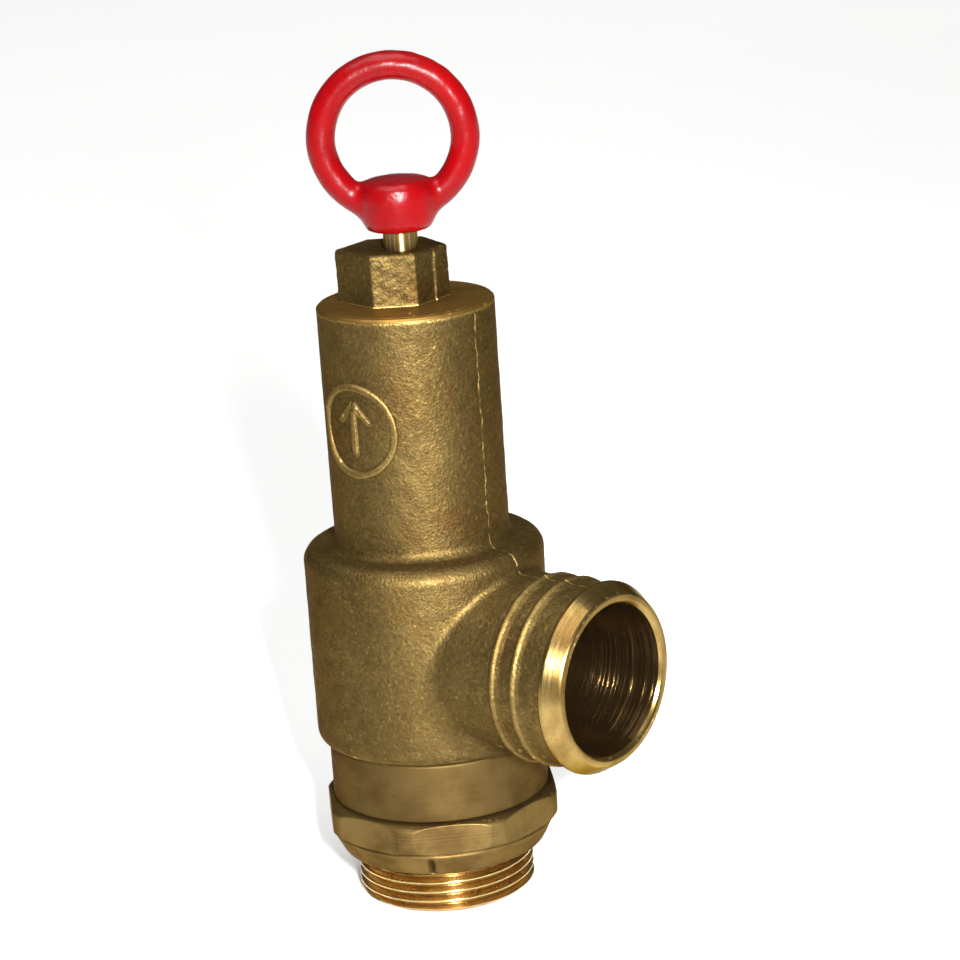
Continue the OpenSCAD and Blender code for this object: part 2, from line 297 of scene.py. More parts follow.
class Nodes:
    """Short ways to add nodes to one material."""

    def __init__(self, name):
        self.mat = bpy.data.materials.new(name)
        self.mat.use_nodes = True
        self.tree = self.mat.node_tree
        self.tree.nodes.clear()
        self.out = self.tree.nodes.new("ShaderNodeOutputMaterial")
        self.coords = self.tree.nodes.new("ShaderNodeTexCoord").outputs["Object"]

    def put(self, socket, value):
        if isinstance(value, bpy.types.NodeSocket):
            self.tree.links.new(value, socket)
        elif value is not None:
            socket.default_value = value

    def node(self, kind, inputs=(), **settings):
        n = self.tree.nodes.new(kind)
        for k, v in settings.items():
            setattr(n, k, v)
        for k, v in dict(inputs).items():
            self.put(n.inputs[k], v)
        return n

    def noise(self, scale, detail=3.0, rough=0.55, distort=0.0, at=None):
        return self.node(
            "ShaderNodeTexNoise",
            {
                "Vector": at or self.coords,
                "Scale": scale,
                "Detail": detail,
                "Roughness": rough,
                "Distortion": distort,
            },
        ).outputs["Fac"]

    def cells(self, scale, feature="F1", smooth=0.5):
        n = self.node("ShaderNodeTexVoronoi", {"Vector": self.coords, "Scale": scale}, feature=feature)
        if feature == "SMOOTH_F1":
            n.inputs["Smoothness"].default_value = smooth
        return n.outputs["Distance"]

    def math(self, op, a, b=None):
        n = self.node("ShaderNodeMath", operation=op)
        for i, v in enumerate((a, b)):
            self.put(n.inputs[i], v)
        return n.outputs[0]

    def ramp(self, value, a, b, lo=0.0, hi=1.0):
        """Maps a..b onto lo..hi, clamped and eased."""
        n = self.node(
            "ShaderNodeMapRange",
            {"Value": value, "From Min": a, "From Max": b, "To Min": lo, "To Max": hi},
            interpolation_type="SMOOTHSTEP",
        )
        return n.outputs["Result"]

    def mix(self, fac, a, b):
        n = self.node("ShaderNodeMix", data_type="RGBA")
        self.put(n.inputs[0], fac)
        self.put(n.inputs[6], a)
        self.put(n.inputs[7], b)
        return n.outputs[2]

    def axes(self):
        return self.node("ShaderNodeSeparateXYZ", {0: self.coords}).outputs

    def pointiness(self):
        """High on edges and low in hollows."""
        return self.node("ShaderNodeNewGeometry").outputs["Pointiness"]

    def scaled(self, x, y, z):
        return self.node(
            "ShaderNodeMapping", {"Vector": self.coords, "Scale": (x, y, z)}
        ).outputs["Vector"]

    def bump(self, height, distance, strength=1.0, normal=None):
        n = self.node("ShaderNodeBump", {"Height": height, "Distance": distance, "Strength": strength})
        self.put(n.inputs["Normal"], normal)
        return n.outputs["Normal"]

    def principled(self, **inputs):
        n = self.node("ShaderNodeBsdfPrincipled")
        for k, v in inputs.items():
            self.put(n.inputs[k.replace("_", " ")], v)
        self.tree.links.new(n.outputs[0], self.out.inputs["Surface"])
        self.shader = n
        return self.mat

    def spread(self, amount):
        """Stretches highlights along Z, as fine grooves turned round Z do."""
        round_z = self.node("ShaderNodeTangent", direction_type="RADIAL", axis="Z").outputs[0]
        self.put(self.shader.inputs["Tangent"], round_z)
        self.put(self.shader.inputs["Anisotropic"], amount)
        self.put(self.shader.inputs["Anisotropic Rotation"], 0.25)
        return self.mat


def rgb(r, g, b):
    """A screen colour of 0 to 255 as a linear colour."""
    return tuple(
        (c / 255 / 12.92) if c <= 10 else ((c / 255 + 0.055) / 1.055) ** 2.4 for c in (r, g, b)
    ) + (1.0,)


def cast_skin(name, base, light, dark, edge, metallic):
    """Sand-cast brass: granular skin, brown tarnish in patches, painted shade in hollows, edges and high
    spots lighter as partly rubbed wear, partly painted highlight.
    """
    n = Nodes(name)
    broad = n.noise(34, 3, 0.5)
    patch = n.noise(190, 4, 0.6)
    grain = n.noise(1150, 4, 0.72)
    sand = n.cells(1500, "SMOOTH_F1")
    fine = n.noise(3200, 2, 0.6)
    height = n.math("ADD", n.math("MULTIPLY", grain, 0.6), n.math("MULTIPLY", sand, 0.45))
    height = n.math("ADD", height, n.math("MULTIPLY", fine, 0.3))
    specks = n.ramp(n.cells(240), 0.02, 0.13, 1.0, 0.0)
    specks = n.math("MULTIPLY", specks, n.ramp(n.noise(85, 2), 0.56, 0.66))
    height = n.math("ADD", height, n.math("MULTIPLY", specks, 0.5))
    tone = n.mix(n.ramp(broad, 0.35, 0.66), base, light)
    tone = n.mix(n.ramp(patch, 0.4, 0.72, 0.0, 0.35), tone, dark)
    tone = n.mix(n.ramp(n.noise(60, 3, 0.55, 0.5), 0.52, 0.7, 0.0, 0.4), tone, rgb(82, 54, 24))
    tone = n.mix(n.ramp(grain, 0.34, 0.52, 0.4, 0.0), tone, dark)
    tone = n.mix(n.ramp(grain, 0.54, 0.72, 0.0, 0.3), tone, edge)
    tone = n.mix(n.math("MULTIPLY", specks, 0.6), tone, edge)
    point = n.pointiness()
    # edges and high spots go lighter: partly rubbed wear, partly painted highlight
    tone = n.mix(n.ramp(point, 0.512, 0.56, 0.0, 0.85), tone, edge)
    # painted shade: hollows go darker
    tone = n.mix(n.ramp(point, 0.49, 0.45, 0.0, 0.7), tone, dark)
    rough = n.ramp(patch, 0.3, 0.75, 0.48, 0.58)
    rough = n.math("SUBTRACT", rough, n.ramp(point, 0.512, 0.56, 0.0, 0.12))
    normal = n.bump(n.noise(140, 3), 0.0004, 0.25)
    normal = n.bump(height, 0.00022, 0.7, normal)
    return n.principled(
        Base_Color=tone, Metallic=metallic, Roughness=rough, Normal=normal, Specular_Tint=EDGE_TINT
    )


def turned_brass(
    name, lines, base, dark, light, rough_lo, rough_hi, axis, depth=0.00006, metallic=0.96, brushed=False
):
    """Machined brass with fine and heavier tool lines round an axis, light staining, a painted highlight on
    edges and painted shade in hollows.
    """
    n = Nodes(name)
    along = n.axes()[axis.upper()]
    waver = n.math("MULTIPLY", n.noise(30, 2), 0.0002)
    line_at = n.node("ShaderNodeCombineXYZ", {0: n.math("ADD", along, waver), 1: 0.0, 2: 0.0}).outputs[0]
    tool = n.noise(lines, 3, 0.75, at=line_at)
    heavy = n.noise(lines * 0.28, 2, 0.6, at=line_at)
    stain = n.noise(95, 4, 0.6)
    small = n.noise(900, 3, 0.6)
    tone = n.mix(n.ramp(stain, 0.38, 0.68), base, dark)
    tone = n.mix(n.ramp(tool, 0.45, 0.75, 0.0, 0.5), tone, light)
    tone = n.mix(n.ramp(small, 0.56, 0.75, 0.0, 0.35), tone, dark)
    point = n.pointiness()
    # painted highlight: edges go lighter than the light tone
    tone = n.mix(n.ramp(point, 0.52, 0.57, 0.0, 0.8), tone, tuple(min(1.0, 1.4 * c) for c in light))
    # painted shade: hollows go darker
    tone = n.mix(n.ramp(point, 0.48, 0.44, 0.0, 0.5), tone, dark)
    rough = n.ramp(stain, 0.3, 0.75, rough_lo, rough_hi)
    rough = n.math("ADD", rough, n.ramp(heavy, 0.4, 0.7, 0.0, 0.08))
    height = n.math("ADD", tool, n.math("MULTIPLY", heavy, 0.9))
    normal = n.bump(n.noise(1500, 2), 0.00003, 0.5)
    normal = n.bump(height, depth, 0.8, normal)
    n.principled(
        Base_Color=tone, Metallic=metallic, Roughness=rough, Normal=normal, Specular_Tint=EDGE_TINT
    )
    return n.spread(0.85) if brushed else n.mat


def dark_bore():
    """The tail's bore: dark brown oxide over rings left by the tool."""
    n = Nodes("bore_brass")
    line_at = n.node("ShaderNodeCombineXYZ", {0: n.axes()["X"], 1: 0.0, 2: 0.0}).outputs[0]
    tool = n.noise(2600, 3, 0.7, at=line_at)
    stain = n.noise(120, 5, 0.65)
    pits = n.noise(1300, 3, 0.6)
    tone = n.mix(n.ramp(stain, 0.35, 0.7), rgb(104, 82, 50), rgb(84, 64, 37))
    tone = n.mix(n.ramp(tool, 0.5, 0.75, 0.0, 0.4), tone, rgb(132, 108, 66))
    tone = n.mix(n.ramp(pits, 0.58, 0.72, 0.0, 0.6), tone, rgb(56, 42, 24))
    normal = n.bump(n.math("ADD", tool, n.math("MULTIPLY", pits, 0.12)), 0.00026, 0.9)
    return n.principled(
        Base_Color=tone, Metallic=0.95, Roughness=n.ramp(stain, 0.3, 0.7, 0.16, 0.24), Normal=normal
    )


def thread_brass():
    """Freshly cut thread: golden flanks, roots darkened as painted shade, crests lightened as a painted
    highlight.
    """
    n = Nodes("thread_brass")
    x, y, _ = n.axes()
    radius = n.math("SQRT", n.math("ADD", n.math("MULTIPLY", x, x), n.math("MULTIPLY", y, y)))
    stain = n.noise(110, 4, 0.6)
    grain = n.noise(1400, 3, 0.6)
    tone = n.mix(n.ramp(stain, 0.35, 0.7), rgb(186, 152, 86), rgb(158, 120, 60))
    # painted shade: the roots go darker
    tone = n.mix(n.ramp(radius, 0.0197, 0.0203, 0.6, 0.0), tone, rgb(126, 92, 46))
    # painted highlight: the crests go near-white gold
    tone = n.mix(n.ramp(radius, 0.02075, 0.02096, 0.0, 0.5), tone, rgb(236, 210, 146))
    tone = n.mix(n.ramp(grain, 0.55, 0.75, 0.0, 0.4), tone, rgb(146, 100, 40))
    normal = n.bump(n.math("ADD", grain, n.noise(400, 2)), 0.00005, 0.6)
    n.principled(
        Base_Color=tone, Metallic=0.97, Roughness=n.ramp(stain, 0.3, 0.75, 0.22, 0.3), Normal=normal
    )
    return n.spread(0.9)


def red_paint():
    """Thick brushed enamel over a rough casting: orange peel, runs, a few dull and darker spots."""
    n = Nodes("red_paint")
    peel = n.noise(420, 3, 0.5)
    runs = n.noise(90, 4, 0.6, 0.3)
    pits = n.ramp(n.cells(330), 0.03, 0.14, 1.0, 0.0)
    pits = n.math("MULTIPLY", pits, n.ramp(n.noise(70, 2), 0.55, 0.66))
    tone = n.mix(n.ramp(runs, 0.35, 0.7), rgb(126, 1, 5), rgb(112, 1, 5))
    tone = n.mix(n.ramp(n.noise(45, 3), 0.5, 0.72, 0.0, 0.5), tone, rgb(138, 5, 7))
    tone = n.mix(n.math("MULTIPLY", pits, 0.7), tone, rgb(112, 2, 6))
    point = n.pointiness()
    tone = n.mix(n.ramp(point, 0.48, 0.4, 0.0, 0.5), tone, rgb(140, 0, 6))
    height = n.math("ADD", n.math("MULTIPLY", peel, 0.4), runs)
    height = n.math("SUBTRACT", height, n.math("MULTIPLY", pits, 0.35))
    normal = n.bump(height, 0.0005, 0.6)
    rough = n.ramp(runs, 0.3, 0.75, 0.24, 0.36)
    return n.principled(
        Base_Color=tone, Metallic=0.0, Roughness=rough, Normal=normal, Specular_IOR_Level=0.2,
    )


def steel(name, base, dark, rough_lo, rough_hi, metallic=0.95):
    """Plated or drawn steel with a mottled finish and light scratches."""
    n = Nodes(name)
    mottle = n.noise(260, 4, 0.6)
    fine = n.noise(1700, 3, 0.6)
    scratch = n.noise(500, 3, 0.7, 1.2, at=n.scaled(1, 0.2, 3))
    tone = n.mix(n.ramp(mottle, 0.35, 0.7), base, dark)
    tone = n.mix(n.ramp(scratch, 0.6, 0.74, 0.0, 0.4), tone, rgb(226, 226, 222))
    normal = n.bump(n.math("ADD", fine, scratch), 0.00004, 0.7)
    return n.principled(
        Base_Color=tone, Metallic=metallic, Roughness=n.ramp(mottle, 0.3, 0.75, rough_lo, rough_hi),
        Normal=normal
    )


def soft_material(name, base, dark, speck, rough, depth):
    """Moulded rubber or pressed fibre: mottled, matt, with a fine skin."""
    n = Nodes(name)
    mottle = n.noise(300, 4, 0.6)
    fine = n.noise(2200, 3, 0.7)
    tone = n.mix(n.ramp(mottle, 0.35, 0.7), base, dark)
    tone = n.mix(n.ramp(fine, 0.6, 0.75, 0.0, 0.5), tone, speck)
    normal = n.bump(n.math("ADD", fine, mottle), depth, 0.8)
    return n.principled(
        Base_Color=tone, Metallic=0.0, Roughness=n.ramp(mottle, 0.3, 0.75, rough, rough + 0.15),
        Normal=normal
    )


CAST = cast_skin("cast_brass", rgb(86, 70, 38), rgb(97, 80, 45), rgb(50, 35, 16), rgb(168, 140, 80), 0.92)
COLLAR = turned_brass(
    "collar_brass", 4200, rgb(150, 125, 73), rgb(104, 79, 40), rgb(184, 162, 108), 0.15, 0.26, "x",
    0.00004
)
NECK = turned_brass(
    "neck_brass", 3000, rgb(88, 71, 39), rgb(74, 57, 29), rgb(102, 84, 49), 0.48, 0.58, "z", 0.00003, 0.92
)
TOP = turned_brass(
    "top_brass", 900, rgb(138, 106, 54), rgb(106, 80, 38), rgb(158, 128, 72), 0.42, 0.54, "z", 0.00003,
    0.92
)
NUT = turned_brass(
    "nipple_brass", 2600, rgb(106, 87, 50), rgb(80, 61, 32), rgb(128, 108, 66), 0.42, 0.54, "z", 0.00005,
    0.92
)
SHAFT = turned_brass(
    "spindle_brass", 5200, rgb(150, 122, 74), rgb(110, 84, 46), rgb(186, 162, 114), 0.3, 0.4, "z",
    0.00001, 0.96, True
)
INNER = turned_brass(
    "inner_brass", 3200, rgb(204, 168, 96), rgb(170, 130, 66), rgb(230, 204, 140), 0.22, 0.36, "z"
)
BORE = dark_bore()
THREAD = thread_brass()
RED = red_paint()
SPRING_STEEL = steel("spring_steel", rgb(150, 150, 150), rgb(112, 112, 116), 0.26, 0.4)
ZINC = steel("zinc_steel", rgb(190, 192, 196), rgb(160, 162, 168), 0.3, 0.46)
RUBBER = soft_material("seal_rubber", rgb(34, 34, 36), rgb(22, 22, 24), rgb(60, 60, 62), 0.5, 0.00006)
FIBRE = soft_material("gasket_fibre", rgb(128, 62, 46), rgb(96, 44, 34), rgb(168, 100, 76), 0.7, 0.00012)

# ---------- body casting ----------

outline = (
    [(0, NECK_Z0 + 8), (NECK_R - 0.3, NECK_Z0 + 8), (NECK_R - 0.3, NECK_Z1 + 0.6)]
    + arc(BODY_R - 2.6, NECK_Z1 + 2.9, 2.6, -80, 0)
    + arc(BODY_R - SHOULDER_R, SHOULDER_Z, SHOULDER_R, 0, 86)
    + arc(BONNET_R + 2.2, ROOT_Z, 2.3, 264, 184)
    + [(BONNET_R, BONNET_Z - 0.72), (0, BONNET_Z - 0.72)]
)
hollow = [
    (0, 30), (JOINT_R, 30), (JOINT_R, 41.5), (CHAMBER_R, 41.5), (CHAMBER_R, CHAMBER_Z1),
    (GUIDE_R, CHAMBER_Z1), (GUIDE_R, GUIDE_Z1), (ROOM_R, GUIDE_Z1), (ROOM_R, ROOF_Z),
    (7.4, ROOF_Z), (7.4, 150), (0, 150),
]
stub = [(12, 0), (12, TAIL_R + 0.25), (24, TAIL_R + 0.25), (30.5, TAIL_R), (60, TAIL_R), (60, 0)]
skin_of = profile_field(outline, (0, 25), (42, 150))
hollow_of = profile_field(hollow, (0, 25), (42, 150))
stub_of = profile_field(stub, (8, 0), (62, 42))


def casting(x, y, z):
    """The cast skin, hollow and bored, as a distance that is negative inside."""
    r = np.sqrt(x * x + y * y)
    t = np.sqrt(y * y + (z - TAIL_Z) ** 2)
    blend = 1.3 + 3.4 * np.clip((TAIL_Z + 2 - z) / 18, 0, 1)
    f = smooth_union(skin_of(r, z), stub_of(x, t), blend)
    f = f - uneven(x, y, z, 0.055) * np.clip((36 - x) / 4, 0, 1)
    f = np.maximum(f, -hollow_of(r, z))
    bore = np.maximum(t - OUTLET_R - 0.25, 20.6 - x)
    return np.maximum(f, -bore)


v, q = nets(casting, (-29.4, -29.4, 38.6), (33.2, 29.4, 144.0), 0.6)
centre = v[q].mean(1)
q = q[(centre[:, 0] < 31.4) & (centre[:, 2] > 39.6)]
used = np.unique(q)
fresh = np.full(len(v), -1)
fresh[used] = np.arange(len(used))
body_shells = [(v[used], fresh[q], 0)]

# barbed tail with its cast skin
barbs = [
    (30.9, TAIL_R - 0.12), (31.3, TAIL_R), (35.1, TAIL_R - 0.05), (35.35, TAIL_R + 0.35), (35.9, BARB_R),
    (36.45, BARB_R),
    (37.0, TAIL_R + 0.35), (38.0, TAIL_R), (41.0, TAIL_R - 0.05), (41.25, TAIL_R + 0.35), (41.8, BARB_R),
    (42.35, BARB_R),
    (42.9, TAIL_R + 0.35), (43.9, TAIL_R), (50.0, TAIL_R),
]


def tail_ripple(x, t):
    """Roughness of the tail's cast skin, fading out at both ends."""
    rough = 0.05 * np.sin(9 * t + 0.6 * x) * np.sin(0.8 * x + 2 * t) + 0.035 * np.sin(
        23 * t + 1.3 * x + 1
    )
    return rough * np.clip((x - 31.4) / 2, 0, 1) * np.clip((49.2 - x) / 1.5, 0, 1)


tail_line = dense(soften(barbs, 0.28), 0.3)
cuts = [0] + [
    int(np.searchsorted(tail_line[:, 0], x)) for x in (35.3, 36.9, 41.2, 42.8)
] + [len(tail_line) - 1]
# the crest bands take slot 5, the lighter brass: partly rubbed wear, partly painted highlight
for i, (start, stop) in enumerate(zip(cuts, cuts[1:])):
    body_shells.append(lathe_x(tail_line[start : stop + 1], 420, 5 if i % 2 else 0, tail_ripple))
# turned collar, rim and mouth
collar = [
    (49.9, TAIL_R - 0.3), (49.95, COLLAR_R - 0.35), (50.2, COLLAR_R), (50.9, COLLAR_R - 0.02),
    (TAIL_X - 0.5, 20.2), (TAIL_X - 0.12, 19.85),
    (TAIL_X, 19.4), (TAIL_X, 18.65), (TAIL_X - 0.25, 18.1), (TAIL_X - 0.9, OUTLET_R),
]
body_shells.append(lathe_x(dense(soften(collar, 0.14), 0.5), 360, 1))
bore_line = dense([(TAIL_X - 0.9, OUTLET_R), (20.4, OUTLET_R), (20.4, OUTLET_R + 0.5)], 1.0)
body_shells.append(lathe_x(bore_line, 360, 2))
# turned neck, its lower edge and the crisp lower rim of the chamber
neck = [
    (JOINT_R, 26.5), (24.8, 26.5), (24.8, NECK_Z0 + 0.02), (NECK_R - 0.4, NECK_Z0 + 0.02),
    (NECK_R, NECK_Z0 + 0.4),
    (NECK_R, NECK_Z1 - 0.6), (NECK_R - 0.12, NECK_Z1 - 0.2), (NECK_R + 0.2, NECK_Z1 + 0.05),
    (BODY_R - 1.9, NECK_Z1 + 0.38),
]
body_shells.append(lathe_z(dense(soften(neck, 0.16), 1.0), 360, 3))
# the chamber's lower rim takes slot 5, the lighter brass: partly rubbed wear, partly painted highlight
low_rim = arc(BODY_R - 2.58, NECK_Z1 + 2.9, 2.6, -78, -28, 8)
body_shells.append(lathe_z(low_rim, 360, 5))
body_shells.append(lathe_z(dense([(JOINT_R, 42), (JOINT_R, 26.5)], 2.0), 256, 3))
# turned top face with its broken edge
top = [
    (BONNET_R, BONNET_Z - 0.9), (BONNET_R + 0.01, BONNET_Z - 0.62), (BONNET_R - 0.55, BONNET_Z - 0.06),
    (BONNET_R - 0.9, BONNET_Z),
    (BONNET_R - 1.5, BONNET_Z), (BONNET_R - 1.62, BONNET_Z - 0.12), (BONNET_R - 1.9, BONNET_Z - 0.12),
    (BONNET_R - 2.02, BONNET_Z - 0.02),
    (15, BONNET_Z - 0.02), (7.7, BONNET_Z - 0.04), (7.1, BONNET_Z - 0.4), (7.1, 134.4), (7.6, 134.4),
]
body_shells.append(lathe_z(dense(soften(top, 0.12), 1.2), 320, 4))


# raised parting line: a thin wavering bead over bonnet, shoulder, chamber and tail
def bead(path, out, wide, high, waver, phase):
    """A soft bead along a path of (x, z) with outward normals out, on one side of the casting."""
    p, o = np.array(path, float), np.array(out, float)
    run = np.concatenate([[0], np.cumsum(np.linalg.norm(np.diff(p, axis=0), axis=1))])
    across = np.linspace(-1, 1, 9)
    side = waver * (
        np.sin(0.52 * run + phase) + 0.7 * np.sin(1.31 * run + 2 * phase) + 0.4 * np.sin(2.9 * run)
    )
    lift = high * (0.8 + 0.25 * np.sin(0.83 * run + phase) + 0.2 * np.sin(2.3 * run + 1.7))
    width = wide * (1 + 0.25 * np.sin(1.1 * run + 0.4))
    y = side[:, None] + width[:, None] * across[None, :] / 2
    h = lift[:, None] * (1 - across[None, :] ** 2) ** 0.8 - 0.06
    pts = p[:, None, :] + o[:, None, :] * h[:, :, None]
    return np.stack([pts[..., 0], y, pts[..., 1]], -1)


def with_normals(path):
    """Evenly spaced points of a path and its outward normals."""
    p = dense(path, 0.5)
    d = np.gradient(p, axis=0)
    d /= np.maximum(np.linalg.norm(d, axis=1)[:, None], 1e-9)
    return p, np.stack([d[:, 1], -d[:, 0]], -1)


side_line = (
    arc(BODY_R - SHOULDER_R, SHOULDER_Z, SHOULDER_R, 8, 86)
    + arc(BONNET_R + 2.2, ROOT_Z, 2.3, 264, 184)
    + [(BONNET_R, BONNET_Z - 1.3)]
)
far_line = [(BODY_R, NECK_Z1 + 3.5)] + side_line
p, o = with_normals(side_line)
body_shells.append(shell(bead(p, o, 0.6, 0.25, 0.13, 0.3), 0))
p, o = with_normals(far_line)
far = bead(p, o, 0.6, 0.25, 0.13, 1.9)
far[..., 0] *= -1
body_shells.append(shell(far, 0, flip=True))
for up in (1, -1):
    line = [
        (28.4, TAIL_R + 0.5), (29.2, TAIL_R + 0.1), (30.5, TAIL_R), (35.1, TAIL_R), (35.9, BARB_R),
        (36.45, BARB_R), (37.6, TAIL_R), (41.0, TAIL_R), (41.8, BARB_R), (42.35, BARB_R),
        (43.5, TAIL_R), (49.9, TAIL_R),
    ]
    p = dense(soften(line, 0.6), 0.5)
    d = np.gradient(p, axis=0)
    d /= np.linalg.norm(d, axis=1)[:, None]
    o = np.stack([-d[:, 1], d[:, 0]], -1)
    b = bead(p, o, 0.55, 0.25, 0.12, 0.8 + up)
    b[..., 2] = TAIL_Z + up * b[..., 2]
    body_shells.append(shell(b, 0, flip=up > 0))


# plain raised mark on the bonnet: a rounded ring round a flow arrow
def on_bonnet(x, dz, h):
    """Points of the bonnet's front, x to the side and dz above the mark's middle, raised by h."""
    a = x / BONNET_R
    r = BONNET_R + h
    return np.stack([r * np.sin(a), -r * np.cos(a), MARK_Z + dz + 0 * a], -1)


def mark_ring(radius, wide, high, n=220, m=10):
    """A raised ring with rounded edges."""
    t = np.arange(n)[:, None] / n * TAU
    s = np.linspace(-1, 1, m + 1)[None, :]
    rr = radius + s * wide / 2
    h = high * (1 - s**4) * (0.85 + 0.15 * np.sin(5 * t + 1)) - 0.08
    return shell(on_bonnet(rr * np.cos(t), rr * np.sin(t), h), 5, closed_u=True)


def mark_bar(a, b, wide, high, n=26, m=10):
    """A straight raised stroke with rounded ends and edges."""
    a, b = np.array(a, float), np.array(b, float)
    d = (b - a) / np.linalg.norm(b - a)
    s = np.linspace(-1, 1, m + 1)[None, :]
    t = np.linspace(0, 1, n)[:, None]
    end = np.clip(np.minimum(t, 1 - t) * np.linalg.norm(b - a) / (wide * 0.5), 0, 1)
    w = wide * np.sqrt(1 - (1 - end) ** 2 * 0.75)
    x = a[0] + (b[0] - a[0]) * t - d[1] * s * w / 2
    z = a[1] + (b[1] - a[1]) * t + d[0] * s * w / 2
    h = high * (1 - s**4) * end**0.5 - 0.08
    return shell(on_bonnet(x, z, h), 5)


body_shells += [
    mark_ring(10.3, 1.9, MARK_H + 0.05),
    mark_bar((0, -6.6), (0, 6.2), 2.0, MARK_H),
    mark_bar((-4.6, 1.5), (0.3, 6.9), 1.9, MARK_H),
    mark_bar((4.6, 1.5), (-0.3, 6.9), 1.9, MARK_H),
]


# lighter brass for the barb crests, the chamber's lower rim and the raised mark: partly rubbed wear, partly
# painted highlight
RUBBED_HIGHLIT = cast_skin(
    "rubbed_highlit_brass", rgb(108, 89, 50), rgb(120, 100, 58), rgb(66, 48, 23), rgb(178, 150, 90), 0.92
)
make(
    "body_casting", body_shells, "housing", [CAST, COLLAR, BORE, NECK, TOP, RUBBED_HIGHLIT],
    stands_for=["valve_body"], sharp=38,
)

# ---------- inlet nipple ----------


def nipple():
    """Threaded end, nicked collar, octagon, joint and seat."""
    cols = 720
    t = np.arange(cols) / cols * TAU
    # thread: one continuous groove with rounded crests and roots
    z = np.arange(0, THREAD_LEN + 0.31, 0.085)[:, None]
    phase = (z - 1.3 - PITCH * t[None, :] / TAU) / PITCH % 1.0
    saw = np.clip(np.abs(2 * phase - 1) * 1.5 - 0.2, 0, 1)
    saw = 0.45 * saw + 0.55 * (0.5 - 0.5 * np.cos(TAU * phase + math.pi))
    fade = np.clip((THREAD_LEN - 0.75 - z) / 0.9, 0, 1)
    r = ROOT_R + (THREAD_R - ROOT_R) * saw * fade
    r = np.minimum(r, ROOT_R - 0.25 + np.maximum(z, 0) * 1.25)
    thread = np.stack([r * np.cos(t), r * np.sin(t), z + 0 * t], -1)
    shells = [shell(thread, 1, closed_v=True)]
    # collar with its cast nick, then the octagon between turned chamfers
    lower = [
        (ROOT_R - 0.2, 11.42), (23.7, 11.4), (24.4, 11.95), (26.62, 16.3), (26.7, 16.7),
        (26.55, 17.05), (26.1, 17.5), (26.0, 17.62),
    ]
    lower = dense(soften(lower, 0.25), 0.35)
    off = (t - NICK_TURN + math.pi) % TAU - math.pi
    rr = lower[:, 0][:, None] + 0 * t
    nick = NICK_DEPTH * np.exp(-((off * 24.5 / 0.6) ** 2))
    nick = nick * np.clip(
        (lower[:, 1][:, None] - 11.6) / 0.5, 0, 1
    ) * np.clip((16.4 - lower[:, 1][:, None]) / 1.2, 0, 1)
    wob = 0.05 * np.sin(5 * t + 1) + 0.03 * np.sin(17 * t + lower[:, 1][:, None])
    rr = rr - nick + wob * np.clip((lower[:, 1][:, None] - 12.5) / 2, 0, 1)
    collar_pts = np.stack([rr * np.cos(t), rr * np.sin(t), lower[:, 1][:, None] + 0 * t], -1)
    shells.append(shell(collar_pts, 0, closed_v=True))
    turned = [
        (25.4, OCTAGON_Z0), (27.2, OCTAGON_Z0), (28.1, 18.2), (28.3, 19.5), (28.3, 23.4),
        (27.75, 24.2), (26.6, 24.74), (24.9, OCTAGON_Z1), (22.0, OCTAGON_Z1),
    ]
    turned = dense(soften(turned, 0.3), 0.28)
    local = (t - OCTAGON_TURN + math.pi / 8) % (math.pi / 4) - math.pi / 8
    flat = OCTAGON_FLAT / np.cos(local)
    a, b = turned[:, 0][:, None], flat[None, :]
    rr = (a + b - np.sqrt((a - b) ** 2 + 0.012)) / 2
    zz = turned[:, 1][:, None] + 0 * t
    shells.append(shell(np.stack([rr * np.cos(t), rr * np.sin(t), zz], -1), 0, closed_v=True))
    # joint spigot above, bore and end face
    inside = [
        (22.3, OCTAGON_Z1), (22.3, 37), (20.6, 37), (20.6, 39), (18.3, 39), (18.3, SEAT_Z),
        (INLET_R, SEAT_Z), (INLET_R, 1),
    ]
    shells.append(lathe_z(dense(inside, 2), 256, 2))
    shells.append(lathe_z([(INLET_R, 1), (INLET_R + 1, 0), (ROOT_R - 0.25, 0)], 256, 2))
    return shells


make(
    "inlet_fitting", nipple(), "housing", [NUT, THREAD, INNER],
    stands_for=["inlet_nipple"], sharp=40
)

# ---------- adjusting screw ----------


